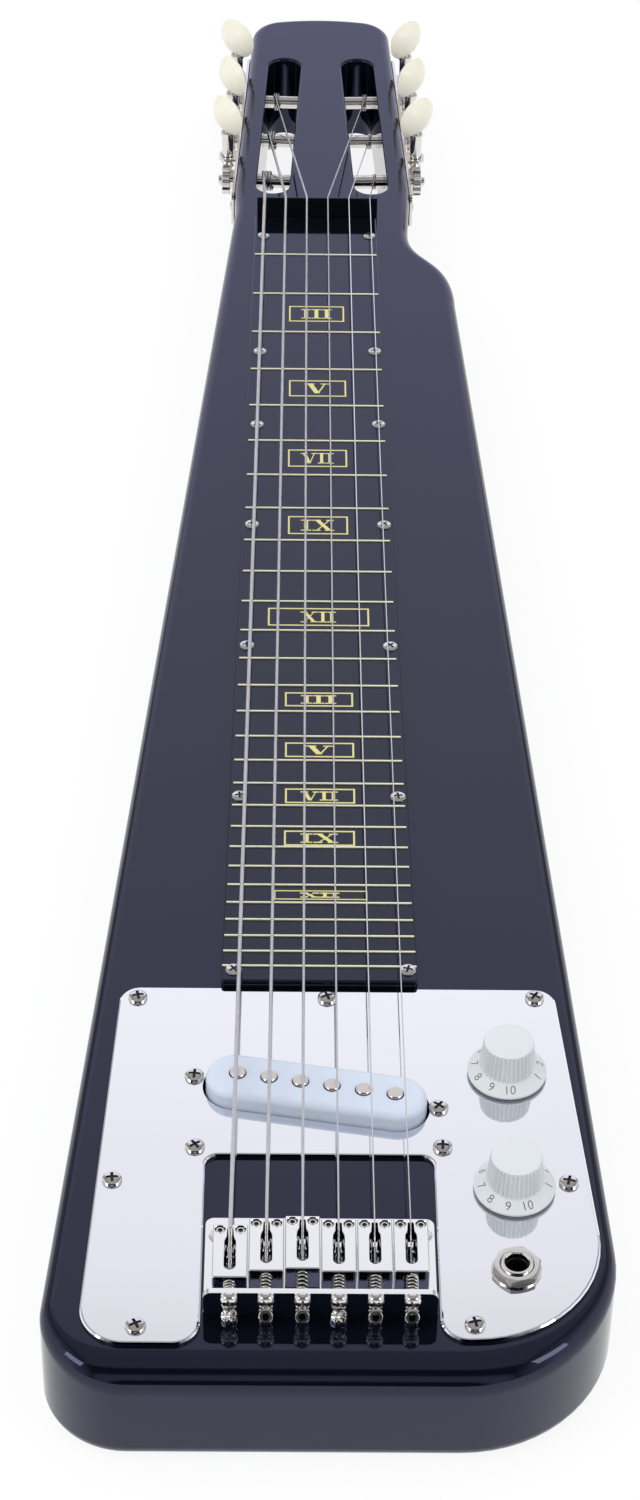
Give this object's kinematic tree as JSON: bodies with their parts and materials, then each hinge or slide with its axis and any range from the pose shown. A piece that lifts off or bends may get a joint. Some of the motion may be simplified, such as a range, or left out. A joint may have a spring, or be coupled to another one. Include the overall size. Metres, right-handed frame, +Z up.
{
  "type": "lap steel guitar",
  "caption": "Electric lap steel guitar with a flat wedge body, slotted headstock, chrome control plate, slanted pickup, knobs and adjustable bridge saddles.",
  "frame": {"origin": "on the flat underside, under the middle of the body outline", "axes": "+Z up out of the strung face, +Y along the strings toward the headstock, +X toward the control side"},
  "size_m": [0.1666, 0.8046, 0.0619],
  "materials": {
    "body_lacquer": "solid wood under thick glossy blue-black lacquer",
    "fretboard_paint": "dark fingerboard strip with painted lines",
    "nut_black": "black moulded nut block",
    "plate_mirror": "mirror chrome plate",
    "pickup_cover_ice": "pale blue-white moulded cover",
    "pickup_core_dark": "steel poles in a dark bobbin",
    "knob_mint": "pale moulded knob",
    "shaft_brass": "plain brass shaft",
    "pot_nickel": "plated steel can",
    "jack_nickel": "nickel plated",
    "bridge_chrome": "chrome plated",
    "screw_nickel": "nickel plated screw",
    "spring_steel": "spring wire",
    "string_steel": "plain and wound steel strings",
    "tuner_nickel": "nickel plated tuner parts",
    "button_cream": "cream moulded button"
  },
  "bodies": {
    "body": {"body": "body_lacquer", "fretboard": "fretboard_paint", "nut": "nut_black", "control_plate": "plate_mirror", "bridge_plate": "bridge_chrome", "volume_pot": "pot_nickel", "tone_pot": "pot_nickel", "output_jack": "jack_nickel", "jack_washer": "jack_nickel", "jack_nut": "jack_nickel", "tuner_plate_left": "tuner_nickel", "tuner_plate_right": "tuner_nickel", "string_1": "string_steel", "string_2": "string_steel", "string_3": "string_steel", "string_4": "string_steel", "string_5": "string_steel", "string_6": "string_steel", "intonation_spring_1": "spring_steel", "intonation_spring_2": "spring_steel", "intonation_spring_3": "spring_steel", "intonation_spring_4": "spring_steel", "intonation_spring_5": "spring_steel", "intonation_spring_6": "spring_steel"},
    "pickup": {"pickup_cover": "pickup_cover_ice", "pickup_core": "pickup_core_dark"},
    "volume_control": {"volume_knob": "knob_mint", "volume_shaft": "shaft_brass"},
    "tone_control": {"tone_knob": "knob_mint", "tone_shaft": "shaft_brass"},
    "saddle_1": {"saddle_1": "bridge_chrome"},
    "intonation_screw_1": {"intonation_screw_1": "screw_nickel"},
    "roller_1": {"string_roller_1": "tuner_nickel"},
    "button_1": {"worm_shaft_1": "tuner_nickel", "tuner_button_1": "button_cream"},
    "saddle_2": {"saddle_2": "bridge_chrome"},
    "intonation_screw_2": {"intonation_screw_2": "screw_nickel"},
    "roller_2": {"string_roller_2": "tuner_nickel"},
    "button_2": {"worm_shaft_2": "tuner_nickel", "tuner_button_2": "button_cream"},
    "saddle_3": {"saddle_3": "bridge_chrome"},
    "intonation_screw_3": {"intonation_screw_3": "screw_nickel"},
    "roller_3": {"string_roller_3": "tuner_nickel"},
    "button_3": {"worm_shaft_3": "tuner_nickel", "tuner_button_3": "button_cream"},
    "saddle_4": {"saddle_4": "bridge_chrome"},
    "intonation_screw_4": {"intonation_screw_4": "screw_nickel"},
    "roller_4": {"string_roller_4": "tuner_nickel"},
    "button_4": {"worm_shaft_4": "tuner_nickel", "tuner_button_4": "button_cream"},
    "saddle_5": {"saddle_5": "bridge_chrome"},
    "intonation_screw_5": {"intonation_screw_5": "screw_nickel"},
    "roller_5": {"string_roller_5": "tuner_nickel"},
    "button_5": {"worm_shaft_5": "tuner_nickel", "tuner_button_5": "button_cream"},
    "saddle_6": {"saddle_6": "bridge_chrome"},
    "intonation_screw_6": {"intonation_screw_6": "screw_nickel"},
    "roller_6": {"string_roller_6": "tuner_nickel"},
    "button_6": {"worm_shaft_6": "tuner_nickel", "tuner_button_6": "button_cream"}
  },
  "joints": [
    {"name": "volume_turn", "type": "hinge", "parent": "body", "child": "volume_control", "pos_m": [0.05454, -0.28526, 0.03945], "axis": [0, 0, 1], "range_deg": [0, 300]},
    {"name": "tone_turn", "type": "hinge", "parent": "body", "child": "tone_control", "pos_m": [0.05454, -0.33256, 0.03945], "axis": [0, 0, 1], "range_deg": [-17, 283]},
    {"name": "pickup_height", "type": "slide", "parent": "body", "child": "pickup", "axis": [0, 0, 1], "range_m": [-0.002, 0.0015]},
    {"name": "intonation_turn_1", "type": "hinge", "parent": "body", "child": "intonation_screw_1", "pos_m": [-0.02901, -0.38166, 0.04695], "axis": [0, 1, 0], "range_deg": [-2449, 793]},
    {"name": "saddle_slide_1", "type": "slide", "parent": "body", "child": "saddle_1", "axis": [0, 1, 0], "range_m": [-0.0011, 0.0034], "deforming": ["intonation_spring_1"]},
    {"name": "intonation_turn_2", "type": "hinge", "parent": "body", "child": "intonation_screw_2", "pos_m": [-0.01861, -0.38166, 0.04695], "axis": [0, 1, 0], "range_deg": [-2449, 2593]},
    {"name": "saddle_slide_2", "type": "slide", "parent": "body", "child": "saddle_2", "axis": [0, 1, 0], "range_m": [-0.0036, 0.0034], "deforming": ["intonation_spring_2"]},
    {"name": "intonation_turn_3", "type": "hinge", "parent": "body", "child": "intonation_screw_3", "pos_m": [-0.00821, -0.38166, 0.04695], "axis": [0, 1, 0], "range_deg": [-2449, 3241]},
    {"name": "saddle_slide_3", "type": "slide", "parent": "body", "child": "saddle_3", "axis": [0, 1, 0], "range_m": [-0.0045, 0.0034], "deforming": ["intonation_spring_3"]},
    {"name": "intonation_turn_4", "type": "hinge", "parent": "body", "child": "intonation_screw_4", "pos_m": [0.00219, -0.38166, 0.04695], "axis": [0, 1, 0], "range_deg": [-2449, 2449]},
    {"name": "saddle_slide_4", "type": "slide", "parent": "body", "child": "saddle_4", "axis": [0, 1, 0], "range_m": [-0.0034, 0.0034], "deforming": ["intonation_spring_4"]},
    {"name": "intonation_turn_5", "type": "hinge", "parent": "body", "child": "intonation_screw_5", "pos_m": [0.01259, -0.38166, 0.04695], "axis": [0, 1, 0], "range_deg": [-2449, 2521]},
    {"name": "saddle_slide_5", "type": "slide", "parent": "body", "child": "saddle_5", "axis": [0, 1, 0], "range_m": [-0.0035, 0.0034], "deforming": ["intonation_spring_5"]},
    {"name": "intonation_turn_6", "type": "hinge", "parent": "body", "child": "intonation_screw_6", "pos_m": [0.02299, -0.38166, 0.04695], "axis": [0, 1, 0], "range_deg": [-2449, 2593]},
    {"name": "saddle_slide_6", "type": "slide", "parent": "body", "child": "saddle_6", "axis": [0, 1, 0], "range_m": [-0.0036, 0.0034], "deforming": ["intonation_spring_6"]},
    {"name": "button_turn_1", "type": "hinge", "parent": "body", "child": "button_1", "pos_m": [-0.04113, 0.28169, 0.0268], "axis": [0, 0, 1], "range_deg": [-2160, 540]},
    {"name": "roller_turn_1", "type": "hinge", "parent": "body", "child": "roller_1", "pos_m": [-0.03656, 0.27187, 0.0268], "axis": [0.999, -0.0445, 0], "range_deg": [-45.01, 180.01], "deforming": ["string_1"]},
    {"name": "button_turn_2", "type": "hinge", "parent": "body", "child": "button_2", "pos_m": [-0.03956, 0.31695, 0.0268], "axis": [0, 0, 1], "range_deg": [-2160, 540]},
    {"name": "roller_turn_2", "type": "hinge", "parent": "body", "child": "roller_2", "pos_m": [-0.03499, 0.30714, 0.0268], "axis": [0.999, -0.0445, 0], "range_deg": [-45.01, 180.01], "deforming": ["string_2"]},
    {"name": "button_turn_3", "type": "hinge", "parent": "body", "child": "button_3", "pos_m": [-0.03799, 0.35222, 0.0268], "axis": [0, 0, 1], "range_deg": [-2160, 540]},
    {"name": "roller_turn_3", "type": "hinge", "parent": "body", "child": "roller_3", "pos_m": [-0.03342, 0.3424, 0.0268], "axis": [0.999, -0.0445, 0], "range_deg": [-45.01, 180.01], "deforming": ["string_3"]},
    {"name": "button_turn_4", "type": "hinge", "parent": "body", "child": "button_4", "pos_m": [0.03826, 0.35222, 0.0268], "axis": [0, 0, 1], "range_deg": [-2160, 540]},
    {"name": "roller_turn_4", "type": "hinge", "parent": "body", "child": "roller_4", "pos_m": [0.03369, 0.3424, 0.0268], "axis": [0.999, 0.0445, 0], "range_deg": [-45.01, 180.01], "deforming": ["string_4"]},
    {"name": "button_turn_5", "type": "hinge", "parent": "body", "child": "button_5", "pos_m": [0.03983, 0.31695, 0.0268], "axis": [0, 0, 1], "range_deg": [-2160, 540]},
    {"name": "roller_turn_5", "type": "hinge", "parent": "body", "child": "roller_5", "pos_m": [0.03526, 0.30714, 0.0268], "axis": [0.999, 0.0445, 0], "range_deg": [-45.01, 180.01], "deforming": ["string_5"]},
    {"name": "button_turn_6", "type": "hinge", "parent": "body", "child": "button_6", "pos_m": [0.0414, 0.28169, 0.0268], "axis": [0, 0, 1], "range_deg": [-2160, 540]},
    {"name": "roller_turn_6", "type": "hinge", "parent": "body", "child": "roller_6", "pos_m": [0.03683, 0.27187, 0.0268], "axis": [0.999, 0.0445, 0], "range_deg": [-45.01, 180.01], "deforming": ["string_6"]}
  ],
  "couplings": [
    {"joint": "intonation_turn_1", "follows": "saddle_slide_1", "rad_per_m": -12566},
    {"joint": "intonation_turn_2", "follows": "saddle_slide_2", "rad_per_m": -12566},
    {"joint": "intonation_turn_3", "follows": "saddle_slide_3", "rad_per_m": -12566},
    {"joint": "intonation_turn_4", "follows": "saddle_slide_4", "rad_per_m": -12566},
    {"joint": "intonation_turn_5", "follows": "saddle_slide_5", "rad_per_m": -12566},
    {"joint": "intonation_turn_6", "follows": "saddle_slide_6", "rad_per_m": -12566},
    {"joint": "roller_turn_1", "follows": "button_turn_1", "ratio": -0.083333},
    {"joint": "roller_turn_2", "follows": "button_turn_2", "ratio": -0.083333},
    {"joint": "roller_turn_3", "follows": "button_turn_3", "ratio": -0.083333},
    {"joint": "roller_turn_4", "follows": "button_turn_4", "ratio": -0.083333},
    {"joint": "roller_turn_5", "follows": "button_turn_5", "ratio": -0.083333},
    {"joint": "roller_turn_6", "follows": "button_turn_6", "ratio": -0.083333}
  ]
}
